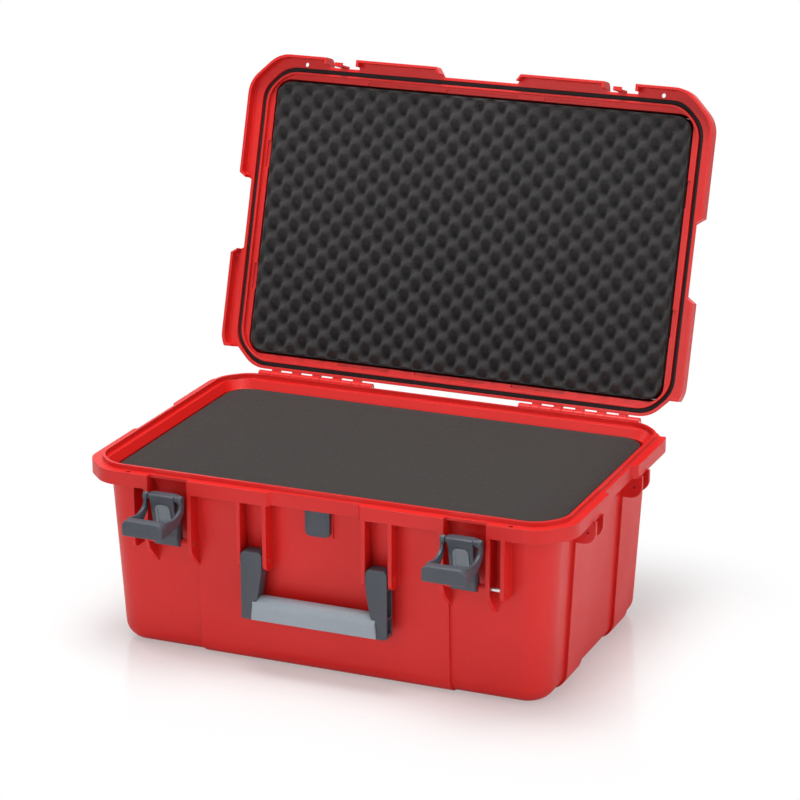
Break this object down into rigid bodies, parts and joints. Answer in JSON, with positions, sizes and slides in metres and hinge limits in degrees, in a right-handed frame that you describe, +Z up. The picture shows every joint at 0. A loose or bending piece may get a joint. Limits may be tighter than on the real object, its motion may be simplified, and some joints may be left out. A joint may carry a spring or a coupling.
{
  "type": "protective carrying case",
  "caption": "Hard moulded carrying case with an open hinged lid, draw latches, a folding carry handle, a rim seal and foam padding in base and lid.",
  "frame": {"origin": "centre of the flat underside", "axes": "+X along the front to the right as seen from the front, +Y from the front to the hinge, +Z up"},
  "size_m": [0.657, 0.6688, 0.662],
  "materials": {
    "red_shell": "fine moulded grain",
    "foam": "open-cell polyurethane foam",
    "pin_steel": "drawn",
    "dark_plastic": "fine moulded grain",
    "grip_plastic": "soft touch",
    "button_plastic": "fine moulded grain",
    "seal_rubber": "matt",
    "membrane": "vented film"
  },
  "bodies": {
    "base": {"base_shell": "red_shell", "base_foam_bottom": "foam", "base_foam_middle": "foam", "base_foam_top": "foam", "left_hinge_pin": "pin_steel", "right_hinge_pin": "pin_steel", "left_latch_pivot_pin": "pin_steel", "right_latch_pivot_pin": "pin_steel", "left_handle_pin": "pin_steel", "right_handle_pin": "pin_steel", "relief_valve_body": "dark_plastic", "relief_valve_seal": "seal_rubber", "relief_valve_nut": "dark_plastic", "relief_valve_membrane": "membrane", "relief_valve_cover": "dark_plastic"},
    "lid": {"lid_shell": "red_shell", "lid_gasket": "seal_rubber", "lid_foam": "foam"},
    "carry_handle": {"handle_frame": "dark_plastic", "handle_grip": "grip_plastic"},
    "left_claw": {"left_latch_claw": "dark_plastic", "left_lever_pin": "pin_steel", "left_lock_spring": "pin_steel"},
    "left_lever": {"left_latch_lever": "dark_plastic"},
    "left_button": {"left_lock_button": "button_plastic"},
    "right_claw": {"right_latch_claw": "dark_plastic", "right_lever_pin": "pin_steel", "right_lock_spring": "pin_steel"},
    "right_lever": {"right_latch_lever": "dark_plastic"},
    "right_button": {"right_lock_button": "button_plastic"}
  },
  "joints": [
    {"name": "lid_hinge", "type": "hinge", "parent": "base", "child": "lid", "pos_m": [0, 0.2155, 0.2416], "axis": [1, 0, 0], "range_deg": [0, 107]},
    {"name": "handle_pivot", "type": "hinge", "parent": "base", "child": "carry_handle", "pos_m": [0, -0.207, 0.151], "axis": [-1, 0, 0], "range_deg": [0, 100]},
    {"name": "left_claw_pivot", "type": "hinge", "parent": "base", "child": "left_claw", "pos_m": [-0.197, -0.2075, 0.1577], "axis": [1, 0, 0], "range_deg": [-3.3, 0]},
    {"name": "left_lever_pivot", "type": "hinge", "parent": "left_claw", "child": "left_lever", "pos_m": [-0.197, -0.22445, 0.2198], "axis": [-1, 0, 0], "range_deg": [-50, 35]},
    {"name": "left_button_press", "type": "slide", "parent": "left_claw", "child": "left_button", "axis": [0, 0.9759, 0.2181], "range_m": [0, 0.0015], "stiffness_N_per_m": 1500, "springref_m": -0.001, "deforming": ["left_lock_spring"]},
    {"name": "right_claw_pivot", "type": "hinge", "parent": "base", "child": "right_claw", "pos_m": [0.197, -0.2075, 0.1577], "axis": [1, 0, 0], "range_deg": [-3.3, 0]},
    {"name": "right_lever_pivot", "type": "hinge", "parent": "right_claw", "child": "right_lever", "pos_m": [0.197, -0.22445, 0.2198], "axis": [-1, 0, 0], "range_deg": [-50, 35]},
    {"name": "right_button_press", "type": "slide", "parent": "right_claw", "child": "right_button", "axis": [0, 0.9759, 0.2181], "range_m": [0, 0.0015], "stiffness_N_per_m": 1500, "springref_m": -0.001, "deforming": ["right_lock_spring"]}
  ]
}
